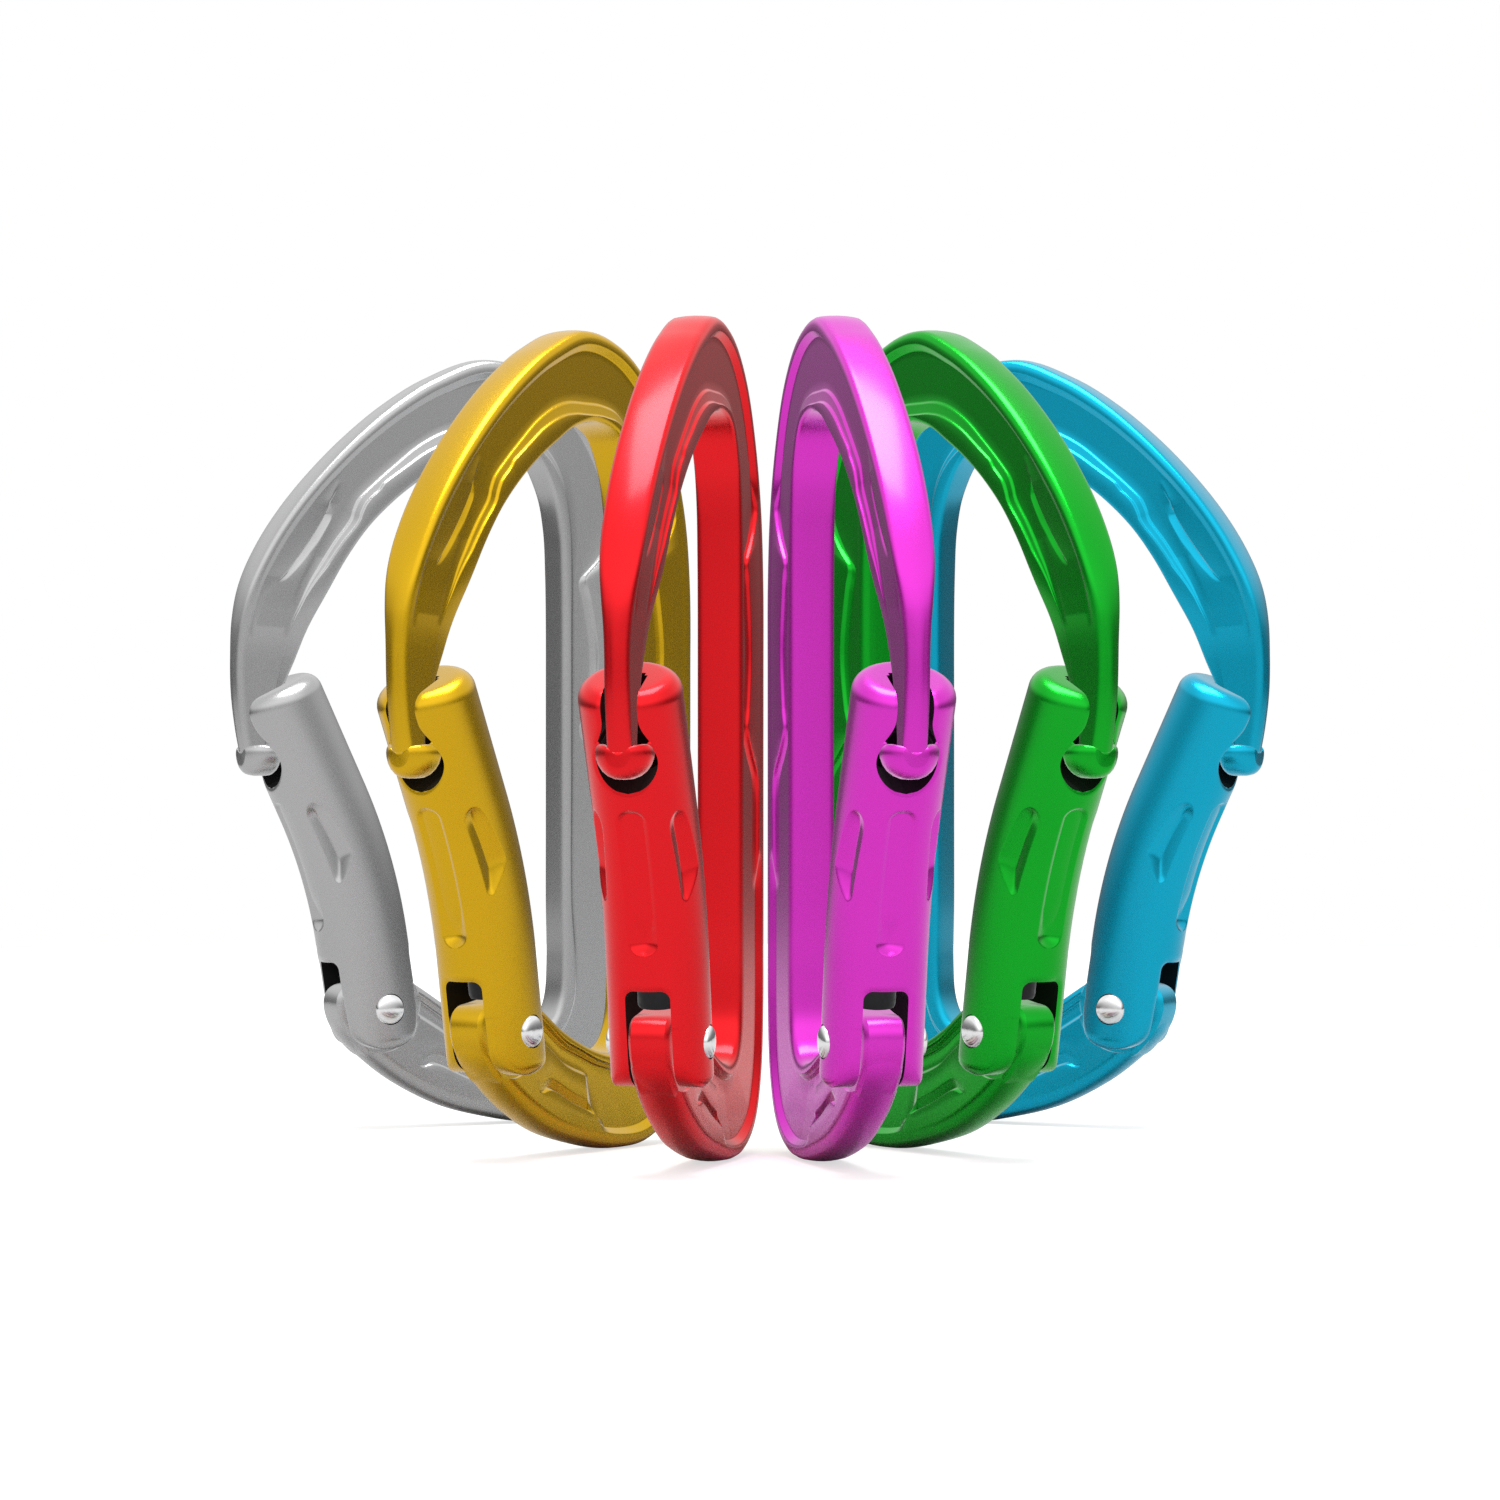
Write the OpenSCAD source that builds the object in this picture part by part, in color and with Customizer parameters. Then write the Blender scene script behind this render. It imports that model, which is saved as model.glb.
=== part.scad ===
// A set of six identical bent-gate keylock carabiners in six anodised colours,
// standing on their lower bends and fanned open like the pages of a book.
// One carabiner lies in its own plane: x runs from the spine to the gate side,
// y across the thickness, and z from the lower bend to the upper one.

/* [Frame] */
// Height of one carabiner
frame_h = 100; // [96:1:104]
// Width of one carabiner, spine to nose
frame_w = 58; // [56:1:60]
// Full thickness of the frame, across the rims
rim_t = 5.8; // [5.4:0.1:6]
// Thickness of the recessed web between the rims
web_t = 4; // [3.4:0.1:4.4]
// Width of the outer rim, seen from the side
outer_rim_w = 3.4; // [3:0.1:4]
// Width of the inner rim, seen from the side
inner_rim_w = 2.2; // [1.6:0.1:2.8]
// Radius of the rope seat inside the upper bend
rope_seat_r = 8; // [7.5:0.1:8.2]

/* [Nose] */
// Thickness of the nose bar that drops into the gate's slot
nose_t = 2.9; // [2.4:0.1:3.2]
// Width of the keylock head at the nose's lower end
nose_head_w = 6.1; // [5:0.1:6.4]

/* [Gate] */
// Diameter of the gate
gate_d = 11.8; // [11:0.1:12]
// Radius of the gate's bend, along its centre line
gate_bend_r = 96; // [90:1:105]
// Width of the slot for the nose bar
nose_slot_w = 4.2; // [3.8:0.1:4.6]
// Diameter of the round notch for the keylock head
notch_d = 7.2; // [6.8:0.1:7.4]
// Width of the slot that takes the frame's tongue
tongue_slot_w = 5.3; // [5.1:0.1:5.6]

/* [Hinge and spring] */
// Diameter of the rivet
rivet_d = 3.7; // [3:0.1:4]
// Thickness of the frame's tongue inside the gate
tongue_t = 4.9; // [4:0.1:5]
// Diameter of the plunger's head
plunger_d = 4.9; // [4:0.1:4.9]
// Offset of the cam from the rivet, which sets the plunger's travel
cam_offset = 2.5; // [1.5:0.1:3]

/* [Fan] */
// Turn of the two outer carabiners away from the front
outer_turn = 60.2; // [58:0.1:62]
// Turn of the two middle carabiners
middle_turn = 33.4; // [32:0.1:35]
// Turn of the two inner carabiners
inner_turn = 14; // [13:0.1:15]

/* [Hidden] */
$fn = 64;
// Each carabiner: name, colour, place of its spine on the floor, and its turn
UNITS = [
    ["silver", "#a9abae", [-15.7, 52.7], -90 - outer_turn],
    ["gold", "#c89a12", [-9.4, 17.7], -90 - middle_turn],
    ["red", "#dc141e", [-0.9, 1.8], -90 - inner_turn],
    ["violet", "#c031b0", [4.7, 1.8], -90 + inner_turn],
    ["green", "#0a8c1c", [9.9, 17.7], -90 + middle_turn],
    ["blue", "#1296be", [15.7, 52.7], -90 + outer_turn]
];
PIECES = ["frame", "gate", "rivet", "spring", "plunger"];

EPS = 0.01;
kx = frame_w / 58;
kz = frame_h / 100;
// Stations round the frame from the nose to the heel, on a frame 58 wide and 100 high:
// outer x, outer z, inner x, inner z
STATIONS = [
    [57.2, 51.5, 53.0, 50.4],
    [57.8, 56.0, 51.6, 55.8],
    [57.9, 60.5, 49.6, 60.4],
    [57.5, 65.5, 47.8, 64.8],
    [56.2, 70.4, 45.4, 69.2],
    [53.7, 75.4, 42.8, 73.6],
    [50.3, 80.3, 39.8, 77.6],
    [46.1, 85.1, 36.3, 81.0],
    [41.3, 89.7, 32.6, 83.8],
    [36.0, 93.9, 28.8, 86.1],
    [30.0, 97.5, 25.0, 88.1],
    [22.8, 100, 20.4, 88.9],
    [15.0, 98.4, 15.8, 87.4],
    [8.6, 93.6, 13.3, 83.0],
    [4.2, 86.6, 12.3, 78.0],
    [1.3, 78.4, 12.0, 72.0],
    [0.1, 69.0, 11.9, 65.0],
    [0, 58, 11.9, 56],
    [0, 47, 11.9, 47],
    [0, 36, 11.9, 38],
    [0, 26, 11.9, 29],
    [0, 17.5, 11.8, 21.5],
    [1.0, 9.6, 12.2, 16.2],
    [4.0, 3.7, 13.9, 13.0],
    [9.2, 0.6, 17.0, 11.8],
    [15.6, 0, 20.6, 12.3],
    [22.4, 1.0, 24.4, 13.6],
    [29.0, 2.8, 28.2, 15.4],
    [35.4, 6.0, 31.6, 17.6],
    [40.2, 9.6, 33.6, 18.8]
];
STEPS = 3;
LAST = len(STATIONS) - 1;
// Stations where the rims start and end
RIM_START = 2;
WEB_START = 3;
// How far the rims' edges step in from the outline, layer by layer
EDGE_STEP = 0.5;
CROWN_STEP = 1.2;

// The rivet's place, the tilt of the plunger's bore, and the gate's tilt at the rivet
pivot = [38.3 * kx, 15.7 * kz];
gate_tilt = 10;
gate_start_tilt = 6.3;
gate_r = gate_d / 2;
// Length of the gate along its centre line, above the rivet
gate_l = 43.9;
heel_r = 5.5;
heel_gap = 0.3;
open_angle = 27;
cam_r = 4;
bore_top = 20;
bore_r = plunger_d / 2 + 0.05;
window_top = 6.5;
plunger_gap = 0.05;
plunger_head = 5;
plunger_stem_r = 1;
plunger_stem = 4;
spring_r = 1.75;
spring_wire_r = 0.3;
spring_turns = 5;
SPRING_SIDES = 5;
SPRING_RINGS = 10;
nose_slot_depth = 8.8;
notch_depth = 6.4;
// Places along the gate's centre line
notch_at = 36.4;
pocket_low = 19.5;
pocket_high = 26;
groove_low = 12.5;
groove_high = 26;
pocket_r = 1.9;
pocket_turn = 57;
pocket_floor = 5.1;
groove_w = 3.7;
groove_depth = 0.6;
gate_bevel = 0.9;

// Catmull-Rom curve through four neighbours, t from 0 to 1 between the middle two
function curve(a, b, c, d, t) =
    (2 * b + (c - a) * t + (2 * a - 5 * b + 4 * c - d) * t * t
    + (3 * b - a - 3 * c + d) * t * t * t) / 2;
function station(i) = STATIONS[min(max(i, 0), LAST)];
function row_at(s) =
    let (i = min(floor(s), LAST - 1))
    curve(station(i - 1), station(i), station(i + 1), station(i + 2), s - i);
function outer_at(s) = let (row = row_at(s)) [row[0] * kx, row[1] * kz];
function inner_at(s) = let (row = row_at(s)) [row[2] * kx, row[3] * kz];
// Point a distance in from the outer edge, or out from the inner edge
function from_outer(s, d) =
    let (o = outer_at(s), i = inner_at(s)) o + (i - o) / norm(i - o) * d;
function from_inner(s, d) =
    let (o = outer_at(s), i = inner_at(s)) i + (o - i) / norm(i - o) * d;
function samples(first, last) = [for (k = [0 : (last - first) * STEPS]) first + k / STEPS];
function backwards(list) = [for (k = [len(list) - 1 : -1 : 0]) list[k]];

module slab(t) {
    rotate([90, 0, 0])
        linear_extrude(t, center = true)
            children();
}

module cross_bore(r, at, t = 40) {
    translate([at[0], 0, at[1]])
        rotate([90, 0, 0])
            cylinder(r = r, h = t, center = true);
}

// Flat outlines, in the carabiner's plane
module body_outline() {
    run = samples(0, LAST);
    polygon(concat(
        [for (s = run) from_outer(s, 0)],
        [for (s = backwards(run)) from_inner(s, 0)]
    ));
}

module outer_band(first, last, d0, d1) {
    run = samples(first, last);
    polygon(concat(
        [for (s = run) from_outer(s, d0)],
        [for (s = backwards(run)) from_outer(s, d1)]
    ));
}

module inner_band(first, last, d0, d1) {
    run = samples(first, last);
    polygon(concat(
        [for (s = run) from_inner(s, d1)],
        [for (s = backwards(run)) from_inner(s, d0)]
    ));
}

// Coordinates of the gate: origin on the rivet, z along the gate's lower half
module gate_place() {
    translate([pivot[0], 0, pivot[1]])
        rotate([0, gate_tilt, 0])
            children();
}

// Angle of the bend up to a distance along the gate
function bend_at(l) = l / gate_bend_r * 180 / PI;

// Coordinates on the gate's centre line, a distance along it from the rivet
module on_gate(l) {
    translate([pivot[0], 0, pivot[1]])
        rotate([0, gate_start_tilt, 0])
            translate([gate_bend_r * (1 - cos(bend_at(l))), 0, gate_bend_r * sin(bend_at(l))])
                rotate([0, bend_at(l), 0])
                    children();
}

// Sweeps a flat shape along the gate's bend between two distances from the rivet
module along_gate(low, high) {
    translate([pivot[0], 0, pivot[1]])
        rotate([0, gate_start_tilt, 0])
            translate([gate_bend_r, 0, 0])
                rotate([90, 0, 0])
                    rotate_extrude(angle = bend_at(high - low), start = 180 - bend_at(high), $fn = 180)
                        translate([gate_bend_r, 0])
                            children();
}

// Wedges that thin the upper arm down to the nose bar
module nose_taper() {
    for (side = [-1, 1])
        translate([38 * kx, 0, 0])
            rotate([90, 0, 90])
                linear_extrude(40)
                    polygon([
                        [side * nose_t / 2, 40 * kz],
                        [side * nose_t / 2, 60 * kz],
                        [side * rim_t / 2, 82 * kz],
                        [side * 8, 82 * kz],
                        [side * 8, 40 * kz]
                    ]);
}

// Room for the gate's round lower end and for its edge when it is open
module heel_room() {
    gate_place() {
        rotate([90, 0, 0])
            cylinder(r = heel_r + heel_gap, h = 20, center = true);
        rotate([0, -open_angle, 0])
            translate([-gate_r, -10, 0])
                cube([2 * gate_r, 20, 20]);
        translate([-gate_r, -10, 0])
            cube([2 * gate_r, 20, 20]);
    }
}

// The frame's tongue inside the gate; its round top is the cam that lifts the plunger
module tongue() {
    slab(tongue_t) {
        translate(pivot)
            rotate(-gate_tilt)
                translate([-cam_offset, 0])
                    circle(r = cam_r);
        translate(pivot)
            circle(r = cam_r - 0.1);
        polygon([
            [pivot[0] - 3, pivot[1] - 6],
            [pivot[0] + 1, pivot[1] - 6.2],
            [pivot[0] + 4.5, pivot[1] - 4.2],
            [pivot[0] + 5.4, pivot[1] - 2],
            [pivot[0] + 5.5, pivot[1] + 0.5],
            [pivot[0] + 4.7, pivot[1] + 2.3],
            [pivot[0] + 3, pivot[1] + 3.1],
            [pivot[0] - 3, pivot[1]]
        ]);
    }
}

// The keylock head that hooks into the gate's notch
module nose_head() {
    head_z = 46.2 * kz;
    head_h = 3.2;
    head_x = 51.2 * kx;
    head_l = 5;
    corner = 1.5;
    translate([head_x, 0, head_z])
        rotate([90, 0, 90])
            linear_extrude(head_l)
                union() {
                    for (side = [-1, 1])
                        translate([side * (nose_head_w / 2 - corner), corner])
                            circle(r = corner);
                    translate([corner - nose_head_w / 2, 0])
                        square([nose_head_w - 2 * corner, head_h]);
                    translate([-nose_head_w / 2, corner])
                        square([nose_head_w, head_h - corner]);
                }
    // The bar between the head and the arm
    slab(nose_t)
        polygon([
            [head_x + 0.6, head_z + 1],
            [head_x + head_l - 0.4, head_z + 1],
            outer_at(0.5),
            inner_at(0.5)
        ]);
}

module frame_solid() {
    seat = [20.3 * kx, 81 * kz];
    difference() {
        union() {
            slab(web_t)
                body_outline();
            slab(rim_t - 0.8)
                outer_band(RIM_START, LAST, EDGE_STEP, outer_rim_w);
            slab(rim_t)
                outer_band(RIM_START, LAST, CROWN_STEP, outer_rim_w - EDGE_STEP);
            slab(rim_t - 0.8)
                inner_band(WEB_START, LAST, 0, inner_rim_w);
        }
        nose_taper();
        difference() {
            heel_room();
            slab(tongue_t)
                square(200, center = true);
        }
        cross_bore(rope_seat_r, seat);
    }
    nose_head();
}

module frame() {
    difference() {
        union() {
            frame_solid();
            tongue();
        }
        cross_bore(rivet_d / 2 + 0.05, pivot);
    }
}

module gate_blank() {
    difference() {
        intersection() {
            along_gate(-heel_r - 0.5, gate_l)
                circle(r = gate_r, $fn = 64);
            gate_place()
                union() {
                    rotate([90, 0, 0])
                        cylinder(r = heel_r, h = 20, center = true);
                    translate([-20, -10, 0])
                        cube([60, 20, 60]);
                }
        }
        // Bevel round the top
        on_gate(gate_l)
            rotate_extrude()
                polygon([
                    [gate_r - gate_bevel - EPS, EPS],
                    [gate_r + 1, -gate_bevel - 1],
                    [gate_r + 1, EPS]
                ]);
    }
}

module pocket() {
    rotate([0, 90, 0]) {
        cylinder(r = pocket_r, h = 5);
        translate([0, -pocket_r, 0])
            cube([pocket_high - pocket_low, 2 * pocket_r, 5]);
        translate([pocket_high - pocket_low, 0, 0])
            cylinder(r = pocket_r, h = 5);
    }
}

module gate() {
    difference() {
        gate_blank();
        // Slot for the tongue, the plunger's bore and the rivet's holes
        gate_place() {
            translate([-20, -tongue_slot_w / 2, -20])
                cube([40, tongue_slot_w, 20 + window_top]);
            cylinder(r = bore_r, h = bore_top);
            rotate([90, 0, 0])
                cylinder(r = rivet_d / 2, h = 20, center = true);
        }
        // Slot and round notch for the nose
        on_gate(notch_at) {
            translate([gate_r - nose_slot_depth, -nose_slot_w / 2, 0])
                cube([20, nose_slot_w, 20]);
            translate([gate_r - notch_depth, 0, 0])
                rotate([0, 90, 0])
                    cylinder(r = notch_d / 2, h = 20);
        }
        // Shallow pockets on both flanks
        on_gate(pocket_high)
            for (side = [-1, 1])
                rotate([0, 0, side * pocket_turn])
                    translate([pocket_floor, 0, 0])
                        pocket();
        // Groove down the front
        along_gate(groove_low, groove_high)
            translate([-gate_r - 2, -groove_w / 2])
                square([2 + groove_depth, groove_w]);
    }
}

module rivet() {
    half = 5.6;
    crown = 0.35;
    gate_place()
        rotate([90, 0, 0])
            rotate_extrude()
                polygon([
                    [0, -half - crown],
                    [rivet_d / 4, -half - crown * 0.8],
                    [rivet_d / 2, -half],
                    [rivet_d / 2, half],
                    [rivet_d / 4, half + crown * 0.8],
                    [0, half + crown]
                ]);
}

module plunger() {
    foot = cam_r + plunger_gap;
    gate_place() {
        translate([0, 0, foot])
            cylinder(r = plunger_d / 2, h = plunger_head);
        translate([0, 0, foot + plunger_head - EPS])
            cylinder(r = plunger_stem_r, h = plunger_stem);
    }
}

module spring() {
    low = cam_r + plunger_gap + plunger_head + spring_wire_r + 0.05;
    high = bore_top - spring_wire_r - 0.05;
    rings = spring_turns * SPRING_RINGS;
    points = [for (k = [0 : rings]) for (j = [0 : SPRING_SIDES - 1])
        let (turn = 360 * k / SPRING_RINGS,
             side = 360 * j / SPRING_SIDES,
             r = spring_r + spring_wire_r * cos(side))
        [r * cos(turn), r * sin(turn), low + (high - low) * k / rings + spring_wire_r * sin(side)]];
    skin = [for (k = [0 : rings - 1]) for (j = [0 : SPRING_SIDES - 1])
        let (next = (j + 1) % SPRING_SIDES, here = k * SPRING_SIDES, above = here + SPRING_SIDES)
        [here + j, here + next, above + next, above + j]];
    gate_place()
        polyhedron(
            points = points,
            faces = concat(
                [[for (j = [SPRING_SIDES - 1 : -1 : 0]) j]],
                skin,
                [[for (j = [0 : SPRING_SIDES - 1]) rings * SPRING_SIDES + j]]
            )
        );
}

module place(unit) {
    translate([unit[2][0], unit[2][1], 0])
        rotate(unit[3])
            children();
}

for (unit = UNITS) {
    color(unit[1]) place(unit) frame();
    color(unit[1]) place(unit) gate();
    color("silver") place(unit) rivet();
    color("gainsboro") place(unit) spring();
    color("dimgray") place(unit) plunger();
}
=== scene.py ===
"""Six bent-gate keylock carabiners in six anodised colours, standing in a fan.

One carabiner is modelled in its own plane, in millimetres: u runs from the spine to the gate side,
w across the thickness and z up. Each of the six is that shape, placed by its unit's turn.
"""
import math

import bmesh
import bpy
import numpy as np
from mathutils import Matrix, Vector


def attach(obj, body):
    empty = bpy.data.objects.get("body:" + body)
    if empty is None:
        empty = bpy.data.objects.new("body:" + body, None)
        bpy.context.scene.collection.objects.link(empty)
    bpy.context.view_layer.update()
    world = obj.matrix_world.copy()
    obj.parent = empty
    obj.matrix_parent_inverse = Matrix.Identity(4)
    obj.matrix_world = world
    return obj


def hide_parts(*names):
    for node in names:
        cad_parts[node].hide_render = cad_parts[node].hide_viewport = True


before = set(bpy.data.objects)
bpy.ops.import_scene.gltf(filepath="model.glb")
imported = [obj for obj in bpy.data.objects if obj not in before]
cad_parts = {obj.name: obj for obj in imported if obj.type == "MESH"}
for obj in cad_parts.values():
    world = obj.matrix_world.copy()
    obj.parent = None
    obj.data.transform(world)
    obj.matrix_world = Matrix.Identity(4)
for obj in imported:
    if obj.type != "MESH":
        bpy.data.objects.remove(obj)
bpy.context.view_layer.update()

MM = 0.001

# Each carabiner: place of its spine on the floor in mm, turn about z in degrees, and anodised colour
UNITS = {
    "silver": ((-15.7, 52.7), -150.2, (0.46, 0.46, 0.465)),
    "gold": ((-9.4, 17.7), -123.4, (0.68, 0.405, 0.004)),
    "red": ((-0.9, 1.8), -104.0, (0.84, 0.008, 0.014)),
    "violet": ((4.7, 1.8), -76.0, (0.74, 0.035, 0.60)),
    "green": ((9.9, 17.7), -56.6, (0.0, 0.42, 0.016)),
    "blue": ((15.7, 52.7), -29.8, (0.0, 0.41, 0.62)),
}

# ---------------------------------------------------------------- frame outline

# Stations round the frame from inside the nose's head to the heel: outer u, outer z, inner u, inner z
STATIONS = np.array([
    [56.4, 47.6, 52.6, 47.6],
    [57.2, 51.5, 53.0, 50.4],
    [57.8, 56.0, 51.6, 55.8],
    [57.9, 60.5, 49.6, 60.4],
    [57.5, 65.5, 47.8, 64.8],
    [56.2, 70.4, 45.4, 69.2],
    [53.7, 75.4, 42.8, 73.6],
    [50.3, 80.3, 39.8, 77.6],
    [46.1, 85.1, 36.3, 81.0],
    [41.3, 89.7, 32.6, 83.8],
    [36.0, 93.9, 28.8, 86.1],
    [30.0, 97.5, 25.0, 88.1],
    [22.8, 100.0, 20.4, 88.9],
    [15.0, 98.4, 15.8, 87.4],
    [8.6, 93.6, 13.3, 83.0],
    [4.2, 86.6, 12.3, 78.0],
    [1.3, 78.4, 12.0, 72.0],
    [0.1, 69.0, 11.9, 65.0],
    [0.0, 58.0, 11.9, 56.0],
    [0.0, 47.0, 11.9, 47.0],
    [0.0, 36.0, 11.9, 38.0],
    [0.0, 26.0, 11.9, 29.0],
    [0.0, 17.5, 11.8, 21.5],
    [1.0, 9.6, 12.2, 16.2],
    [4.0, 3.7, 13.9, 13.0],
    [9.2, 0.6, 17.0, 11.8],
    [15.6, 0.0, 20.6, 12.3],
    [22.4, 1.0, 24.4, 13.6],
    [29.0, 2.8, 28.2, 15.4],
    [35.4, 6.0, 31.6, 17.6],
    [40.2, 9.6, 33.6, 18.8],
    [43.0, 12.3, 35.4, 19.3],
    [44.0, 15.0, 37.2, 19.0],
])
LAST = len(STATIONS) - 1
RIBS_PER_STATION = 13

# Lines of the relief on a face, from the nose to the heel, in (u, z)
# Outer lip of the wedge groove, and on the spine the edge of the raised pad
GROOVE_OUTER = [
    (56.6, 60), (56.2, 64.5), (55.6, 66.5), (54.5, 69.0), (52.3, 70.6), (50.2, 72.9), (45.9, 79.2),
    (45.1, 81.5), (43.0, 85.0),
    (38.6, 89.2), (30.0, 94.6), (22.0, 96.6), (15.5, 95.0), (10.2, 90.6), (6.2, 84.6), (3.6, 79.0),
    (6.0, 74.2), (8.3, 71.6), (7.7, 68.8), (6.6, 61.0), (7.5, 54.0), (8.2, 51.4), (6.0, 48.4), (3.4, 45.6),
    (3.0, 36), (3.0, 26), (3.3, 17), (4.6, 10.4), (7.4, 5.6), (11.4, 3.4), (16.0, 2.6),
    (19.9, 2.9), (21.5, 4.5), (26.0, 6.3), (30.7, 8.2), (32.4, 7.9), (37.0, 10.5), (39.6, 13.2),
]
# Inwards from that lip: the groove's lowest line and, by station, its inner lip
GROOVE_FLOOR = 0.25
GROOVE_WIDTH = [(0, 1.1), (5, 0.8), (6.3, 1.3), (6.95, 1.15), (7.35, 0.3), (7.9, 0.8), (14.8, 0.9),
                (15.6, 1.0), (20, 1.0), (26, 1.4), (LAST, 1.3)]
# Outer edge of the band that climbs to the inner rim
BAND_OUTER = [
    (53.6, 52), (51.4, 62.0), (50.6, 65.0), (49.4, 67.6), (48.0, 70.4), (46.5, 72.7), (44.5, 75.7),
    (42.3, 78.6), (41.9, 79.8), (41.2, 81.2), (38.8, 83.5), (35.8, 86.0), (32.7, 88.4), (29.3, 90.2),
    (26.4, 91.0), (22.9, 91.1), (19.2, 91.0), (16.0, 90.2), (13.2, 87.6), (11.4, 84.0), (10.4, 78.0),
    (10.2, 72.0), (10.2, 65.0), (10.2, 47.0), (10.2, 29.0), (9.7, 21.6), (9.9, 15.6), (11.8, 11.6),
    (15.6, 9.8), (20.0, 10.4), (23.5, 11.6), (27.2, 13.0), (30.2, 14.9), (32.8, 16.6), (34.6, 17.4),
    (36.6, 18.0),
]
# The band's width, by station, and its crisp steps: how wide the first and last are, and the share of
# the strip's depth at which each ends
BAND_WIDTH = [(0, 0.2), (4.6, 0.3), (5.6, 0.9), (7, 1.15), (8.1, 1.25), (8.35, 0.95), (9, 1.2), (11, 1.7),
              (12.5, 1.5), (14, 0.8), (15, 0.45), (23, 0.45), (25, 0.8), (27, 0.9), (30, 0.9), (LAST, 0.5)]
FIRST_STEP, FIRST_SHARE = 0.2, 0.62
LAST_STEP, LAST_SHARE = 0.15, 0.45
# Inner edge of the web's middle part, which is a plateau on the lower bend; a strip lies between it
# and the band
PLATEAU = [
    (54.2, 52), (52.4, 61.0), (51.0, 66.4), (49.4, 70.4), (47.0, 74.6), (44.2, 79.6), (42.0, 82.9),
    (38.7, 85.8), (34.0, 89.2), (28.8, 92.0), (22.5, 92.8), (15.6, 91.6), (11.6, 88.2), (9.6, 84.0),
    (8.9, 78.0), (9.3, 71.6), (9.2, 65.0), (9.2, 47.0), (9.2, 29.0), (8.6, 20.4), (8.9, 14.2), (10.8, 10.0),
    (12.8, 7.9), (17.9, 7.6), (19.7, 8.7), (23.5, 9.6), (27.2, 10.9), (29.8, 12.6), (32.8, 14.4),
    (35.0, 15.8), (37.4, 16.6),
]

# Depth of each part of the face below the rims, by station: outer side, middle and inner side
DEPTH_OUTER = [(0, 0), (3.6, 0), (5.2, 0.42), (7.2, 0.45), (7.9, 0.72), (15.4, 0.72), (15.8, 0.08),
               (20.0, 0.08), (20.4, 0.72), (24, 0.72), (25.5, 0.95), (26.3, 0.95), (26.55, 0.0), (LAST, 0)]
DEPTH_MIDDLE = [(0, 0), (3.9, 0), (5.9, 0.66), (7, 0.72), (24, 0.72), (25.5, 0.95), (26.62, 0.95),
                (26.9, 0.24), (28.3, 0.18), (29.0, 0.0), (LAST, 0)]
DEPTH_INNER = [(0, 0), (3.7, 0), (5.9, 0.7), (7, 0.72), (24, 0.72), (25.5, 0.95), (29.0, 0.95),
               (30, 0.4), (LAST, 0.05)]
# Extra depth of the wedge groove, which also runs round the pad on the spine
DEPTH_GROOVE = [(0, 0), (5.1, 0), (5.7, 0.65), (7.05, 0.8), (7.38, 0), (15.4, 0), (15.7, 0.4), (20, 0.4),
                (20.3, 0), (26.75, 0), (26.95, 0.85), (28.3, 0.75), (28.7, 0), (LAST, 0)]
# Width of the outer rim's flat land and of its soft step, by station
LAND = [(0, 1.1), (5, 1.2), (9, 1.25), (12, 1.75), (16, 1.7), (24, 1.6), (27, 1.1), (LAST, 1.2)]
STEP_WIDTH = [(0, 0.25), (4, 0.35), (6, 0.7), (LAST, 0.75)]
# Half the full thickness at the rims, by station
HALF = [(0, 1.45), (3.1, 1.45), (3.7, 1.68), (4.3, 2.12), (5, 2.48), (6, 2.68), (7, 2.78), (8, 2.85),
        (10, 2.9), (28, 2.9), (30.1, 2.88), (30.6, 2.72), (31.1, 2.45), (LAST, 2.1)]
# Rounding of the outer and the inner edge, by station
OUTER_ROUND = [(0, 0.85), (3, 0.9), (5, 0.7), (7, 0.75), (12, 1.0), (24, 1.1), (27, 1.7), (30, 1.6),
               (31, 1.0), (LAST, 0.95)]
INNER_ROUND = [(0, 0.5), (13, 0.5), (15, 0.9), (24, 0.9), (26, 0.5), (LAST, 0.5)]
# Rounding of the relief's corners, the room kept for each before the inner rim, and the least
# distance between two
FILLET = 0.14
CORNER_GAP = 0.12
LEAST_GAP = 0.1
# Width of the step from the middle part to the strip, and how far the inner rim's outer and inner
# edges lie below the outer rim
STRIP_STEP = 0.4
RIM_DROP, RIM_EDGE_DROP = 0.04, 0.12
# How far the outer wall's edges fall back from its middle
CROWN = 0.14
# Turns at which a rounded edge has its points
QUARTER = np.radians([0, 22, 45, 68, 90])


def by_station(table, s):
    """A table's value at the places s along the stations."""
    return np.interp(s, [row[0] for row in table], [row[1] for row in table])


def smoothly(table, s):
    """The same, with the table's corners rounded off."""
    return sum(by_station(table, s + shift) for shift in np.linspace(-0.6, 0.6, 9)) / 9


def catmull_rom(a, b, c, d, t):
    """The curve from b to c, with a before and d after them."""
    return (2 * b + (c - a) * t + (2 * a - 5 * b + 4 * c - d) * t ** 2
            + (3 * b - a - 3 * c + d) * t ** 3) / 2


def rows_at(s):
    """Outline rows at the places s along the stations, on a Catmull-Rom curve."""
    i = np.minimum(np.floor(s).astype(int), LAST - 1)
    t = (s - i)[:, None]
    a, b, c, d = (STATIONS[np.clip(i + k, 0, LAST)] for k in (-1, 0, 1, 2))
    return catmull_rom(a, b, c, d, t)


def cross(a, b):
    """The cross product of plane vectors."""
    return a[..., 0] * b[..., 1] - a[..., 1] * b[..., 0]


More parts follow.
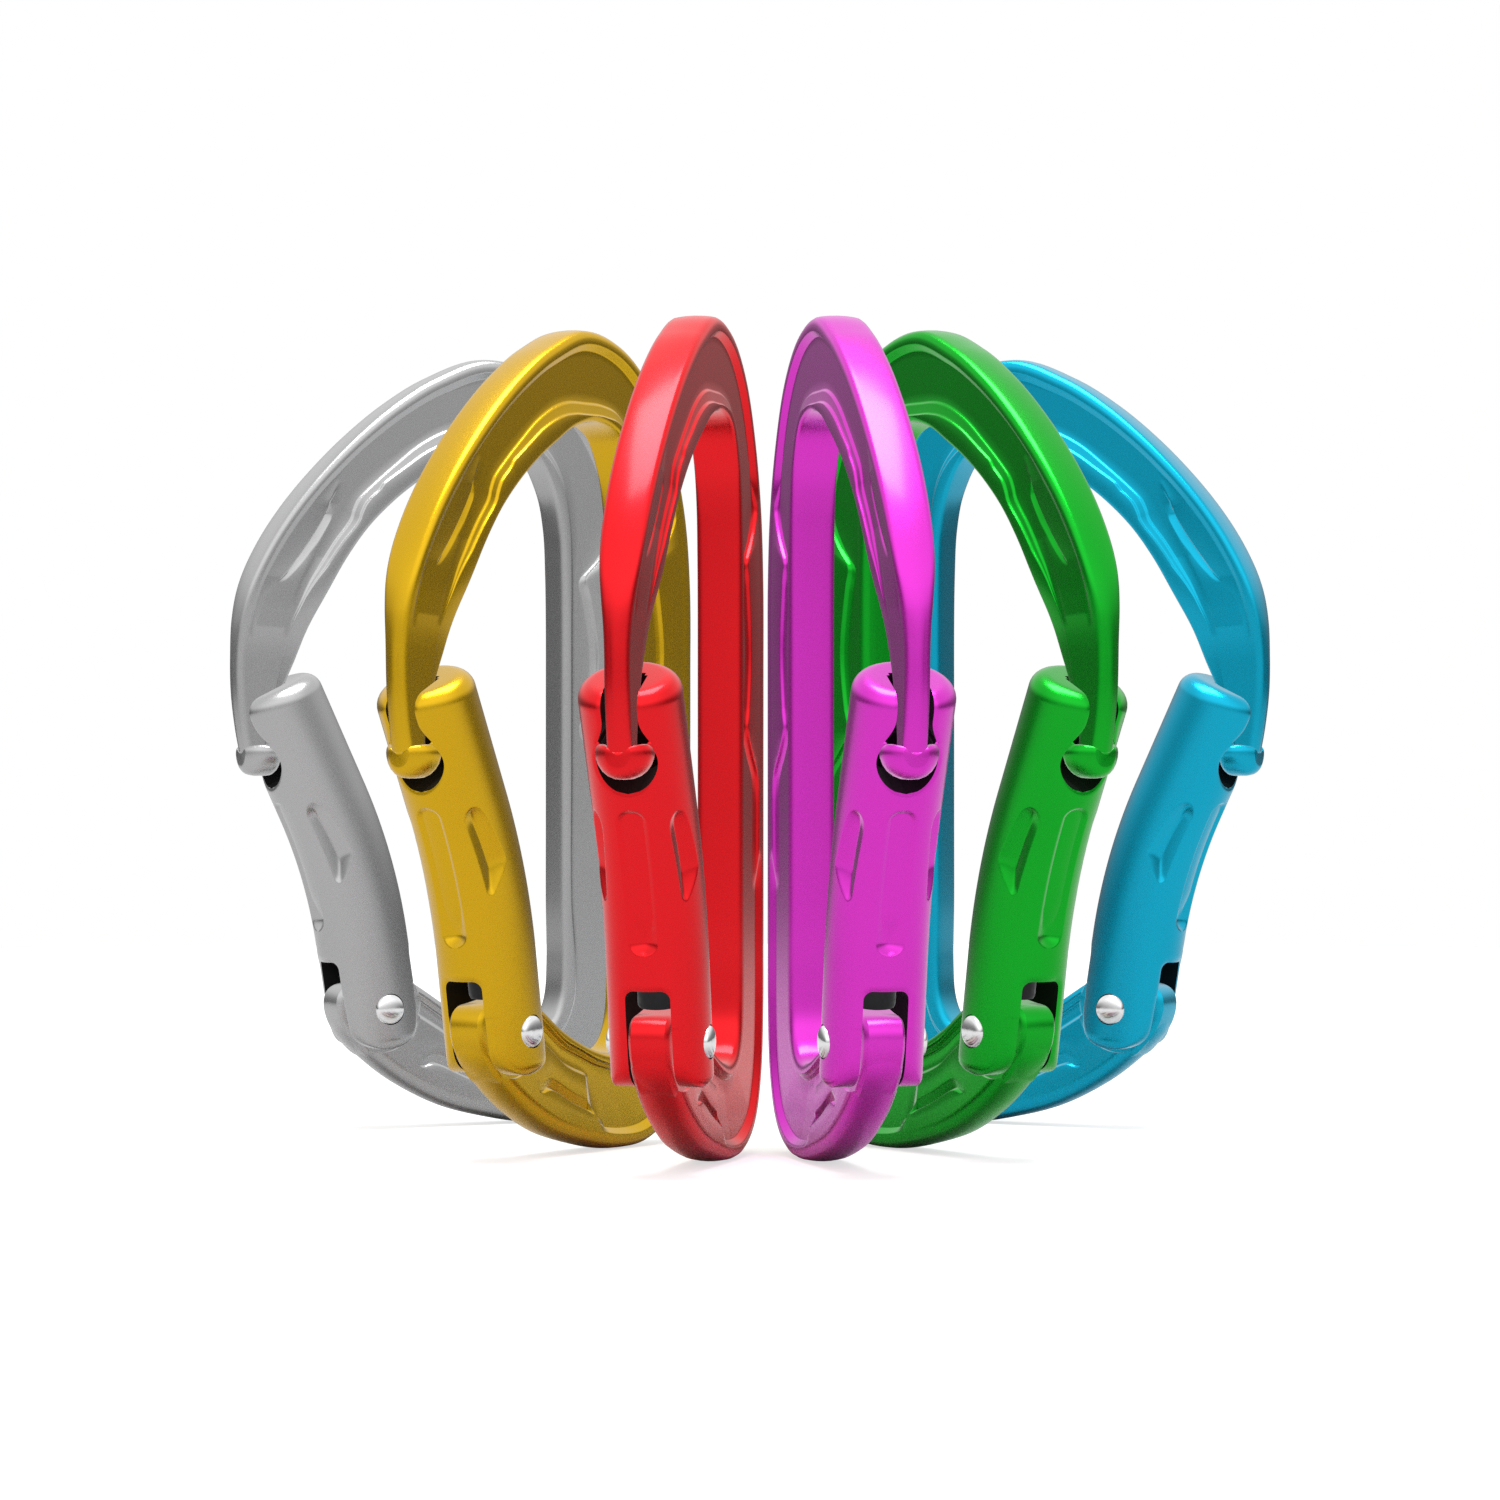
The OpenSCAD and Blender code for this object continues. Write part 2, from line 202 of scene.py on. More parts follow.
def curved(points):
    """A smooth line through points: a centripetal Catmull-Rom curve, which keeps close corners tight."""
    p = np.array(points, float)
    p = np.vstack([2 * p[0] - p[1], p, 2 * p[-1] - p[-2]])
    t = np.concatenate([[0], np.cumsum(np.sqrt(np.linalg.norm(np.diff(p, axis=0), axis=1)))])
    out = []
    for i in range(1, len(p) - 2):
        for x in np.linspace(t[i], t[i + 1], 8, endpoint=False):
            near = p[i - 1:i + 3]
            at = t[i - 1:i + 3]
            for reach in (1, 2):
                near = [((at[k + reach] - x) * near[k] + (x - at[k]) * near[k + 1])
                        / (at[k + reach] - at[k]) for k in range(4 - reach)]
            out.append(((at[2] - x) * near[0] + (x - at[1]) * near[1]) / (at[2] - at[1]))
    out.append(p[-2])
    return np.array(out)


def along_ribs(outer, inner, line):
    """How far in from the outer edge each rib crosses a line, as a share of the rib."""
    line = curved(line)
    rib = inner - outer
    start = line[:-1]
    step = line[1:] - start
    gap = start[None] - outer[:, None]
    turn = cross(rib[:, None], step[None])
    turn = np.where(np.abs(turn) < 1e-9, 1e-9, turn)
    share = cross(gap, step[None]) / turn
    place = cross(gap, rib[:, None]) / turn
    ok = (place >= -1e-6) & (place <= 1 + 1e-6) & (share > -0.3) & (share < 1.3)
    found = ok.any(1)
    first = ok.argmax(1)
    value = share[np.arange(len(outer)), first]
    where = np.arange(len(outer))
    return np.interp(where, where[found], value[found])


def station_of(point):
    """The place along the stations whose rib passes through a point."""
    s = np.linspace(0, LAST, 60 * LAST)
    row = rows_at(s)
    outer, inner = row[:, :2], row[:, 2:]
    rib = inner - outer
    length = np.linalg.norm(rib, axis=1)
    off = np.abs(cross(rib, np.array(point) - outer)) / length
    share = ((np.array(point) - outer) * rib).sum(1) / length ** 2
    off[(share < 0) | (share > 1)] = 1e9
    return s[off.argmin()]


def rib_places():
    """Ribs evenly along the frame, and one through each corner of the relief's lines."""
    places = list(np.linspace(0, LAST, RIBS_PER_STATION * LAST + 1))
    for line in (GROOVE_OUTER, BAND_OUTER, PLATEAU):
        places += [station_of(p) for p in line]
    for table in (DEPTH_OUTER, DEPTH_MIDDLE, DEPTH_INNER, DEPTH_GROOVE):
        places += [row[0] for row in table]
    places = np.unique(np.round(places, 3))
    keep = [0.0]
    for p in places[1:]:
        if p - keep[-1] > 0.02:
            keep.append(p)
    keep[-1] = LAST
    return np.array(keep)


def frame_profile():
    """Section columns for every rib: distance in from the outer edge and height, both in mm."""
    s = rib_places()
    row = rows_at(s)
    outer, inner = row[:, :2], row[:, 2:]
    width = np.linalg.norm(inner - outer, axis=1)
    half = smoothly(HALF, s)
    groove = along_ribs(outer, inner, GROOVE_OUTER) * width
    band = along_ribs(outer, inner, BAND_OUTER) * width
    plateau = along_ribs(outer, inner, PLATEAU) * width
    round_r = smoothly(OUTER_ROUND, s)
    inner_r = smoothly(INNER_ROUND, s)
    land = round_r + by_station(LAND, s) * 0.5
    deep_outer, deep_middle, deep_inner = (
        by_station(table, s) for table in (DEPTH_OUTER, DEPTH_MIDDLE, DEPTH_INNER))
    band_end = band + by_station(BAND_WIDTH, s)
    corners = [
        (land, 0 * s),
        (land + by_station(STEP_WIDTH, s), deep_outer),
        (groove, deep_outer),
        (groove + GROOVE_FLOOR, deep_outer + by_station(DEPTH_GROOVE, s)),
        (groove + by_station(GROOVE_WIDTH, s), deep_middle),
        (plateau, deep_middle),
        (plateau + STRIP_STEP, deep_inner),
        (band, deep_inner),
        (band + FIRST_STEP, deep_inner * FIRST_SHARE),
        (band_end - LAST_STEP, deep_inner * LAST_SHARE + RIM_DROP),
        (band_end, RIM_DROP + 0 * s),
        (width - inner_r, RIM_EDGE_DROP + 0 * s),
    ]
    # The corners keep their order, at least a little apart
    low = land * 0
    d = []
    for k, (place, _) in enumerate(corners):
        room = width - inner_r - CORNER_GAP * (len(corners) - 1 - k)
        low = np.minimum(np.maximum(place, low + LEAST_GAP), room)
        d.append(low)
    h = [half - depth for _, depth in corners]

    columns = []
    top = half - round_r
    for share in (0.0, 0.5, 0.9):
        columns.append((CROWN * share ** 2 + 0 * s, top * share))
    for turn in QUARTER:
        columns.append((CROWN + round_r * (1 - math.cos(turn)), top + round_r * math.sin(turn)))
    for k in range(len(d) - 1):
        back_d, back_h = (d[k - 1], h[k - 1]) if k else (CROWN + round_r, half)
        before = np.hypot(d[k] - back_d, h[k] - back_h)
        after = np.hypot(d[k + 1] - d[k], h[k + 1] - h[k])
        cut = np.minimum(FILLET, 0.42 * np.minimum(before, after))
        a = cut / np.maximum(before, 1e-6)
        b = cut / np.maximum(after, 1e-6)
        p_d, p_h = d[k] + (back_d - d[k]) * a, h[k] + (back_h - h[k]) * a
        q_d, q_h = d[k] + (d[k + 1] - d[k]) * b, h[k] + (h[k + 1] - h[k]) * b
        columns += [(p_d, p_h), ((p_d + 2 * d[k] + q_d) / 4, (p_h + 2 * h[k] + q_h) / 4), (q_d, q_h)]
    edge_h = h[-1]
    corner_r = np.minimum(inner_r, width - d[-1])
    for turn in QUARTER:
        columns.append((d[-1] + corner_r * math.sin(turn), edge_h - corner_r * (1 - math.cos(turn))))
    columns.append((width + 0.03, (edge_h - corner_r) * 0.5))
    columns.append((width + 0.04, 0 * s))
    return outer, inner, width, columns


# How far a cutter reaches past what it cuts, and the angle in degrees from which an edge stays sharp
BEYOND = 9
SHARP = 38


def mesh_from_grid(name, points):
    """A tube from an array of rings; each end is closed with a fan round the ring's middle."""
    rings, sides = points.shape[:2]
    verts = [tuple(p) for p in points.reshape(-1, 3)]
    faces = []
    for i in range(rings - 1):
        for j in range(sides):
            k = (j + 1) % sides
            faces.append((i * sides + j, i * sides + k, (i + 1) * sides + k, (i + 1) * sides + j))
    for ring, flip in ((0, True), (rings - 1, False)):
        middle = len(verts)
        verts.append(tuple(points[ring].mean(0)))
        for j in range(sides):
            a, b = ring * sides + j, ring * sides + (j + 1) % sides
            faces.append((b, a, middle) if flip else (a, b, middle))
    mesh = bpy.data.meshes.new(name)
    mesh.from_pydata(verts, [], faces)
    mesh.update()
    return mesh


def loft_frame():
    """The frame from inside its head to its heel, before the tongue and head are joined on."""
    outer, inner, width, columns = frame_profile()
    d = np.stack([c[0] for c in columns], 1)
    h = np.stack([c[1] for c in columns], 1)
    d = np.concatenate([d, d[:, -2:0:-1]], 1)
    h = np.concatenate([h, -h[:, -2:0:-1]], 1)
    way = (inner - outer) / width[:, None]
    flat = outer[:, None, :] + way[:, None, :] * d[..., None]
    points = np.stack([flat[..., 0], h, flat[..., 1]], -1)
    return mesh_from_grid("body", points)


def object_from(mesh, name):
    """An object with a mesh, in the scene."""
    piece = bpy.data.objects.new(name, mesh)
    bpy.context.scene.collection.objects.link(piece)
    return piece


def outward(mesh):
    """Turns a closed mesh's faces outwards."""
    bm = bmesh.new()
    bm.from_mesh(mesh)
    bmesh.ops.recalc_face_normals(bm, faces=bm.faces)
    bm.to_mesh(mesh)
    bm.free()


def smooth_loop(points, per_point):
    """A closed Catmull-Rom curve through points."""
    p = np.array(points, float)
    n = len(p)
    out = []
    for i in range(n):
        a, b, c, d = p[i - 1], p[i], p[(i + 1) % n], p[(i + 2) % n]
        for t in np.arange(per_point) / per_point:
            out.append(catmull_rom(a, b, c, d, t))
    return np.array(out)


def pillow(outline, half, edge, centre):
    """A flat outline in (u, z) given a thickness, with rounded edges."""
    rings = []
    middle = np.array(centre)
    reach = np.linalg.norm(outline - middle, axis=1)[:, None]
    for turn in np.radians([-90, -60, -30, 0, 30, 60, 90]):
        inset = edge * (1 - math.cos(turn))
        w = math.sin(turn) * edge + (half - edge) * (1 if turn > 0 else -1 if turn < 0 else 0)
        shrunk = middle + (outline - middle) * (1 - inset / reach)
        rings.append(np.stack([shrunk[:, 0], np.full(len(shrunk), w), shrunk[:, 1]], -1))
    return np.array(rings)


# The rivet's place, and the tongue's outline round it, in (u, z)
PIVOT = np.array([38.3, 15.7])
TONGUE = [
    (34.0, 12.2), (36.6, 9.4), (39.6, 9.3), (42.0, 11.3), (43.6, 13.6), (44.3, 15.9), (44.0, 17.7),
    (42.8, 18.7), (40.6, 19.1), (38.3, 19.5), (36.0, 19.9), (33.7, 19.3), (32.2, 17.4), (32.4, 14.6),
]
TONGUE_MIDDLE = (38.4, 14.6)
TONGUE_HALF = 2.45
TONGUE_ROUND = 0.95
# Radius that is cut clear round the rivet on both sides of the tongue, for the gate's cheeks
HEEL_ROOM = 5.75


def tongue_mesh():
    """The thin round tongue at the heel, which the gate straddles."""
    outline = smooth_loop(TONGUE, 6)
    return mesh_from_grid("tongue", pillow(outline, TONGUE_HALF, TONGUE_ROUND, TONGUE_MIDDLE))


# The keylock head's widest section, one side of it in (w, z) from its bottom to the valley at the bar
HEAD_SECTION = [
    (0.0, 45.65), (0.9, 45.72), (1.75, 46.05), (2.45, 46.6), (2.95, 47.3), (3.25, 48.1), (3.32, 48.7),
    (3.22, 49.2), (2.95, 49.52), (2.6, 49.6), (2.25, 49.45), (1.9, 49.1), (1.6, 48.85), (0.8, 48.8),
    (0.0, 48.8),
]
HEAD_MIDDLE = np.array([0.0, 48.4])
# Its back, widest place and front along u, and the rounding of its ends seen from the side
HEAD_BACK, HEAD_WIDEST, HEAD_FRONT = 52.1, 53.8, 56.65
HEAD_BACK_R, HEAD_FRONT_R = 1.2, 2.0
# Shares of the section lost: in width at the front and at the back, in height at the back and front
HEAD_NARROWS, HEAD_BACK_NARROWS = 0.55, 0.3
HEAD_BACK_SINKS, HEAD_FRONT_SINKS = 0.42, 0.5


def fallen(past, radius):
    """How far a round end has fallen back, as a share of its radius, past the start of its rounding."""
    return 1 - math.sqrt(max(1 - (max(past, 0) / radius) ** 2, 0))


def head_mesh():
    """The keylock head: round-bottomed with raised lips, and rounded off towards the bar's front."""
    side = np.array(HEAD_SECTION)
    ring = np.concatenate([side, side[-2:0:-1] * [-1, 1]])
    from_back, to_front = HEAD_BACK + HEAD_BACK_R, HEAD_FRONT - HEAD_FRONT_R
    rings = []
    for u in np.concatenate([HEAD_BACK + HEAD_BACK_R * (1 - np.cos(np.linspace(0, math.pi / 2, 9)[:-1])),
                             np.linspace(from_back, to_front, 8),
                             to_front + HEAD_FRONT_R * np.sin(np.linspace(0.1, math.pi / 2, 13))]):
        plan = 1 - HEAD_NARROWS * (max(u - HEAD_WIDEST, 0) / (HEAD_FRONT - HEAD_WIDEST)) ** 2.2
        rear = fallen(from_back - u, HEAD_BACK_R)
        fore = fallen(u - to_front, HEAD_FRONT_R)
        wide = plan * (1 - HEAD_BACK_NARROWS * rear)
        tall = 1 - HEAD_BACK_SINKS * rear - HEAD_FRONT_SINKS * fore
        pts = HEAD_MIDDLE + (ring - HEAD_MIDDLE) * [wide, tall]
        rings.append(np.stack([np.full(len(pts), u), pts[:, 0], pts[:, 1]], -1))
    return mesh_from_grid("head", np.array(rings))


def cylinder_mesh(name, radius, low, high, centre, sides=96):
    """A cylinder along w."""
    turn = np.linspace(0, 2 * math.pi, sides, endpoint=False)
    ring = np.stack([centre[0] + radius * np.cos(turn), 0 * turn, centre[1] + radius * np.sin(turn)], -1)
    return mesh_from_grid(name, np.array([ring + [0, w, 0] for w in (low, high)]))


def boolean(target, cutter_mesh, operation, inside=0):
    """Cuts or joins a mesh; the faces that come from the cutter take the material slot inside."""
    outward(cutter_mesh)
    cutter_mesh.materials.append(None)
    cutter_mesh.materials.append(None)
    cutter_mesh.polygons.foreach_set("material_index", [inside] * len(cutter_mesh.polygons))
    cutter = object_from(cutter_mesh, "cutter")
    mod = target.modifiers.new("cut", "BOOLEAN")
    mod.object = cutter
    mod.operation = operation
    mod.solver = "EXACT"
    graph = bpy.context.evaluated_depsgraph_get()
    result = bpy.data.meshes.new_from_object(target.evaluated_get(graph))
    target.modifiers.remove(mod)
    old = target.data
    target.data = result
    bpy.data.meshes.remove(old)
    bpy.data.objects.remove(cutter)
    bpy.data.meshes.remove(cutter_mesh)


def finished(piece, sharp_degrees):
    """Takes the mesh out of a scratch object, shaded smooth but for its sharp edges."""
    mesh = piece.data
    bpy.data.objects.remove(piece)
    mesh.shade_smooth()
    mesh.set_sharp_from_angle(angle=math.radians(sharp_degrees))
    return mesh


def make_frame():
    """The frame: the loft, cut clear for the gate's cheeks, with its tongue and head joined on."""
    body = loft_frame()
    outward(body)
    piece = object_from(body, "scratch_frame")
    for low, high in ((TONGUE_HALF, BEYOND), (-BEYOND, -TONGUE_HALF)):
        boolean(piece, cylinder_mesh("room", HEEL_ROOM, low, high, PIVOT), "DIFFERENCE")
    boolean(piece, tongue_mesh(), "UNION")
    boolean(piece, head_mesh(), "UNION")
    return finished(piece, SHARP)


# ---------------------------------------------------------------- gate

GATE_R = 5.9
# Centre line above the rivet: straight, an arc, and straight again
START_TILT = math.radians(9.1)
LOWER = 9.0
BEND_R = 65.0
BEND = math.radians(16.5)
UPPER = 16.2
GATE_L = LOWER + BEND_R * BEND + UPPER
TOP_ROUND = 2.1
# Heel below the rivet: its length, where it starts, how far its front and back stand out there and
# lose by its end, and how its sides draw in over its last quarter
HEEL_R = 5.2
HEEL_FROM = 2.5
HEEL_OUT, HEEL_LOSS = 0.4, 0.7
HEEL_BLEND = 9
CHEEK_FROM, CHEEK_LOSS = 0.75, 0.16
# Slot for the tongue: half its width, and the top of its window with the corners' rounding
SLOT_HALF = 2.65
WINDOW_TOP = 6.9
WINDOW_ROUND = 1.1
# Keyhole for the nose: its round part, the shoulders above it, and the slot for the bar, which is
# narrower behind the bar
NOTCH_R = 3.55
NOTCH_AT = 35.8
NOSE_SLOT_HALF = 2.1
SLOT_BACK_HALF = 1.75
SHOULDER_FROM, SHOULDER_MEETS, SHOULDER_LENGTH = 0.6, 2.4, 4.6
# How far back from the centre line the keyhole and the slot reach
KEYHOLE_BACK, SLOT_BACK = -0.6, -1.25
RIVET_HOLE_R = 2.0
# Soft lips round the window and the keyhole: depth and width
WINDOW_LIP = (0.35, 0.9)
KEYHOLE_LIP = (0.25, 0.6)
# Groove down the front: half width, low and high end, corner rounding, depth, and the extra depth of
# its lower end with the places where that starts and where the floor turns into a ball's
FRONT_HALF = 1.8
FRONT_LOW, FRONT_HIGH, FRONT_ROUND = 11.3, 30.3, 1.75
FRONT_DEPTH, FRONT_MORE = 0.5, 0.6
DEEPER_FROM, DEEPER_OVER = 17, 5
BALL_FROM, BALL_OVER = 14.6, 1.5
# Pocket on each flank: its corners as offset from the centre line and distance along it, and how
# steeply the side from each corner to the next falls; the side without a slope is the edge of the
# hollow, which reaches its depth at a distance from it
POCKET = [
    ((4.5, 27.8), 1.0), ((4.15, 28.8), 1.0), ((3.5, 29.3), 1.0), ((2.8, 29.0), 1.0), ((2.3, 28.2), None),
    ((0.95, 21.1), 0.95), ((3.4, 17.4), 1.1), ((3.95, 17.9), 1.1),
]
HOLLOW_DEPTH, HOLLOW_REACH = 1.45, 3.0
POCKET_SOFT = 0.17


def gate_line(l):
    """Centre line point, and unit vectors along the gate and towards its front."""
    a = np.clip((l - LOWER) / BEND_R, 0, BEND)
    tilt = START_TILT + a
    first = PIVOT + np.array([math.sin(START_TILT), math.cos(START_TILT)]) * min(l, LOWER)
    hub = first + np.array([math.cos(START_TILT), -math.sin(START_TILT)]) * BEND_R
    way = np.array([math.sin(tilt), math.cos(tilt)])
    front = np.array([math.cos(tilt), -math.sin(tilt)])
    point = first if l <= LOWER else hub - front * BEND_R + way * max(l - LOWER - BEND_R * BEND, 0)
    return point, way, front


def gate_points(offset, w, l):
    """Points given by offset towards the front, width and distance along the gate."""
    point, _, front = gate_line(l)
    flat = point + np.multiply.outer(offset, front)
    return np.stack([flat[..., 0], np.broadcast_to(w, np.shape(offset)), flat[..., 1]], -1)


def box_distance(x, y, x_half, y_low, y_high, round_r):
    """Distance outside a rounded rectangle, negative inside."""
    dx = np.abs(x) - (x_half - round_r)
    dy = np.abs(y - (y_low + y_high) / 2) - ((y_high - y_low) / 2 - round_r)
    outside = np.hypot(np.maximum(dx, 0), np.maximum(dy, 0))
    return outside + np.minimum(np.maximum(dx, dy), 0) - round_r


def pocket_depth(x, l):
    """Depth of the flank's pocket: a steep front wall, a hollow floor and a facet at its lower end."""
    total = 0
    for k, ((ax, al), fall) in enumerate(POCKET):
        bx, bl = POCKET[(k + 1) % len(POCKET)][0]
        ex, el = bx - ax, bl - al
        inside = (ex * (l - al) - el * (x - ax)) / math.hypot(ex, el)
        if fall is None:
            side = HOLLOW_DEPTH * (1 - (1 - np.clip(inside / HOLLOW_REACH, -1, 1)) ** 2)
        else:
            side = inside * fall
        total = total + np.exp(-np.clip(side, -3, 3) / POCKET_SOFT)
    return np.maximum(-POCKET_SOFT * np.log(total), 0)


def soft(x):
    """Smoothly from 0 to 1."""
    x = np.clip(x, 0, 1)
    return x * x * (3 - 2 * x)


def keyhole_half(l):
    """Half width of the keyhole for the nose, a distance along the gate."""
    y = l - NOTCH_AT
    circle = np.sqrt(np.maximum(NOTCH_R ** 2 - y ** 2, 0))
    narrowing = 1 - soft((y - SHOULDER_FROM) / SHOULDER_LENGTH)
    shoulder = NOSE_SLOT_HALF + (NOTCH_R - NOSE_SLOT_HALF) * narrowing
    above = np.where(y < SHOULDER_MEETS, np.minimum(circle, shoulder), shoulder)
    return np.where(y < SHOULDER_FROM, circle, np.maximum(above, NOSE_SLOT_HALF))


def lip(distance, depth_and_width):
    """Depth of a soft lip, a distance outside the edge that it runs round."""
    depth, width = depth_and_width
    return depth * np.clip(1 - distance / width, 0, 1) ** 2


def front_groove(w, l):
    """Depth of the groove down the front, deepest at its round lower end."""
    outside = box_distance(w, np.full(len(w), l), FRONT_HALF, FRONT_LOW, FRONT_HIGH, FRONT_ROUND)
    inward = np.clip(-outside / FRONT_HALF, 0, 1)
    floor = FRONT_DEPTH + FRONT_MORE * soft((DEEPER_FROM - l) / DEEPER_OVER)
    ball = soft((BALL_FROM - l) / BALL_OVER)
    channel = np.minimum(FRONT_HALF * inward, floor)
    return channel * (1 - ball) + floor * (1 - (1 - inward) ** 2) * ball


def gate_surface():
    """The gate's outside, before its slots and its rivet hole are cut."""
    sides = 256
    turn = np.linspace(0, 2 * math.pi, sides, endpoint=False)
    shoulder = GATE_L - TOP_ROUND
    places = np.concatenate([
        -HEEL_R + HEEL_R * (1 - np.cos(np.linspace(0.02, math.pi / 2, 16))),
        np.linspace(0.25, shoulder, 250),
        shoulder + TOP_ROUND * np.sin(np.linspace(0.15, math.pi / 2, 8)),
    ])
    rings = []
    for l in places:
        rise = max(l - shoulder, 0) / TOP_ROUND
        r = np.full(sides, GATE_R - TOP_ROUND * (1 - math.sqrt(max(1 - rise ** 2, 0))))
        w0 = r * np.sin(turn)
        x0 = r * np.cos(turn)
        window = box_distance(w0, np.full(sides, l), SLOT_HALF, -20, WINDOW_TOP, WINDOW_ROUND)
        r = r - lip(window, WINDOW_LIP) * (np.abs(x0) > 2)
        if l > NOTCH_AT - NOTCH_R - 1:
            gap = np.abs(w0) - keyhole_half(np.array(max(l, NOTCH_AT - NOTCH_R * 0.96)))
            below = np.hypot(w0, l - NOTCH_AT) - NOTCH_R
            r = r - lip(np.where(l < NOTCH_AT, below, gap), KEYHOLE_LIP) * (x0 > 0)
        r = r - front_groove(w0, l) * (x0 > 0)
        r = r - pocket_depth(x0, l)
        x = r * np.cos(turn)
        w = r * np.sin(turn)
        if l < HEEL_FROM:
            reach = GATE_R + HEEL_OUT - HEEL_LOSS * soft((HEEL_FROM - l) / HEEL_FROM)
            low = max(-l / HEEL_R, 0)
            reach = reach * math.sqrt(1 - low ** 2)
            x = x / (1 + (np.abs(x) / reach) ** HEEL_BLEND) ** (1 / HEEL_BLEND)
            w = w * (1 - CHEEK_LOSS * max(low - CHEEK_FROM, 0) ** 2 / (1 - CHEEK_FROM) ** 2)
        rings.append(gate_points(x, w, l))
    return mesh_from_grid("gate", np.array(rings))


def prism(name, outline, low, high):
    """A (w, l) outline swept from one offset to another, towards the front of the gate."""
    rings = []
    for offset in (low, high):
        rings.append([gate_points(np.array(float(offset)), w, l) for w, l in outline])
    return mesh_from_grid(name, np.array(rings).reshape(2, len(outline), 3))


def tongue_slot():
    """The cutter for the slot that straddles the tongue, open at the gate's bottom."""
    top = WINDOW_TOP - WINDOW_ROUND
    arc = [(SLOT_HALF - WINDOW_ROUND * (1 - math.cos(a)), top + WINDOW_ROUND * math.sin(a))
           for a in np.linspace(0, math.pi / 2, 8)]
    right = [(SLOT_HALF, -BEYOND)] + arc
    return prism("tongue_slot", right + [(-w, l) for w, l in right[::-1]], -BEYOND, BEYOND)


def keyhole():
    """The cutter for the keyhole, open at the gate's top."""
    places = np.concatenate([np.linspace(NOTCH_AT - NOTCH_R, NOTCH_AT + 6, 40), [GATE_L + 4]])
    right = [(max(float(keyhole_half(np.array(l))), 0.02), l) for l in places]
    return prism("keyhole", right + [(-w, l) for w, l in right[::-1]], KEYHOLE_BACK, BEYOND)


def bar_slot():
    """The cutter for the slot behind the nose's bar."""
    low, high = NOTCH_AT + 1, GATE_L + 4
    right = [(SLOT_BACK_HALF, low), (SLOT_BACK_HALF, high)]
    outline = right + [(-w, l) for w, l in right[::-1]]
    return prism("slot", outline, SLOT_BACK, 0)


def make_gate():
    """The gate; what its cutters leave takes the second material slot, which holds painted shade."""
    body = gate_surface()
    outward(body)
    body.materials.append(None)
    body.materials.append(None)
    piece = object_from(body, "scratch_gate")
    rivet_hole = cylinder_mesh("rivet_hole", RIVET_HOLE_R, -BEYOND, BEYOND, PIVOT, 64)
    for cutter in (tongue_slot(), keyhole(), bar_slot(), rivet_hole):
        boolean(piece, cutter, "DIFFERENCE", 1)
    return finished(piece, SHARP)


# ---------------------------------------------------------------- rivet, plunger and spring

BORE_TILT = math.radians(10)


def on_bore(x, w, z):
    """Points given on the plunger's axis, which starts at the rivet."""
    u = PIVOT[0] + x * math.cos(BORE_TILT) + z * math.sin(BORE_TILT)
    up = PIVOT[1] - x * math.sin(BORE_TILT) + z * math.cos(BORE_TILT)
    return np.stack([u, w + 0 * u, up], -1)


def make_rivet():
    """The hinge pin, with a peened dome at each end."""
    turn = np.linspace(0, 2 * math.pi, 64, endpoint=False)
    # Radius and distance out along the axis, from the shank to the peened dome
    section = [(1.75, 0.0), (1.75, 5.2), (1.85, 5.3), (1.85, 5.8), (1.78, 5.93), (1.6, 6.06), (1.3, 6.17),
               (0.9, 6.25), (0.45, 6.3), (0.1, 6.31)]
    side = section[::-1] + section[1:]
    rings = []
    for k, (r, w) in enumerate(side):
        sign = -1 if k < len(section) else 1
        across, up = r * np.cos(turn), r * np.sin(turn)
        rings.append(np.stack([PIVOT[0] + across, 0 * turn + sign * w, PIVOT[1] + up], -1))
    mesh = mesh_from_grid("rivet", np.array(rings))
    outward(mesh)
    return finished(object_from(mesh, "scratch_rivet"), 60)


def make_plunger():
    """The spring's follower: a short piston with a pin up into the spring."""
    turn = np.linspace(0, 2 * math.pi, 48, endpoint=False)
    section = [(1.9, 4.05), (2.3, 4.15), (2.45, 4.5), (2.45, 8.7), (2.3, 9.0), (1.1, 9.05), (1.0, 9.2),
               (1.0, 12.7), (0.8, 13.0)]
    rings = [on_bore(r * np.cos(turn), r * np.sin(turn), np.full(48, z)) for r, z in section]
    mesh = mesh_from_grid("plunger", np.array(rings))
    outward(mesh)
    return finished(object_from(mesh, "scratch_plunger"), 30)


def make_spring():
    """The coil spring between the plunger and the end of the bore."""
    low, high, coil_r, turns, wire = 9.4, 19.6, 1.75, 5, 0.3
    per_turn = 36
    side = np.linspace(0, 2 * math.pi, 10, endpoint=False)
    rings = []
    for k in range(turns * per_turn + 1):
        a = 2 * math.pi * k / per_turn
        r = coil_r + wire * np.cos(side)
        z = low + (high - low) * k / (turns * per_turn) + wire * np.sin(side)
        rings.append(on_bore(r * math.cos(a), r * math.sin(a), z))
    mesh = mesh_from_grid("spring", np.array(rings))
    outward(mesh)
    return finished(object_from(mesh, "scratch_spring"), 60)


# ---------------------------------------------------------------- materials

def node_material(name):
    """A new material, its nodes and links, and its shader."""
    material = bpy.data.materials.new(name)
    material.use_nodes = True
    nodes = material.node_tree.nodes
    return material, nodes, material.node_tree.links, nodes["Principled BSDF"]


def noise(nodes, links, scale, detail=3.0):
    """Noise fixed to the object."""
    place = nodes.new("ShaderNodeTexCoord")
    tex = nodes.new("ShaderNodeTexNoise")
    tex.inputs["Scale"].default_value = scale
    tex.inputs["Detail"].default_value = detail
    links.new(place.outputs["Object"], tex.inputs["Vector"])
    return tex


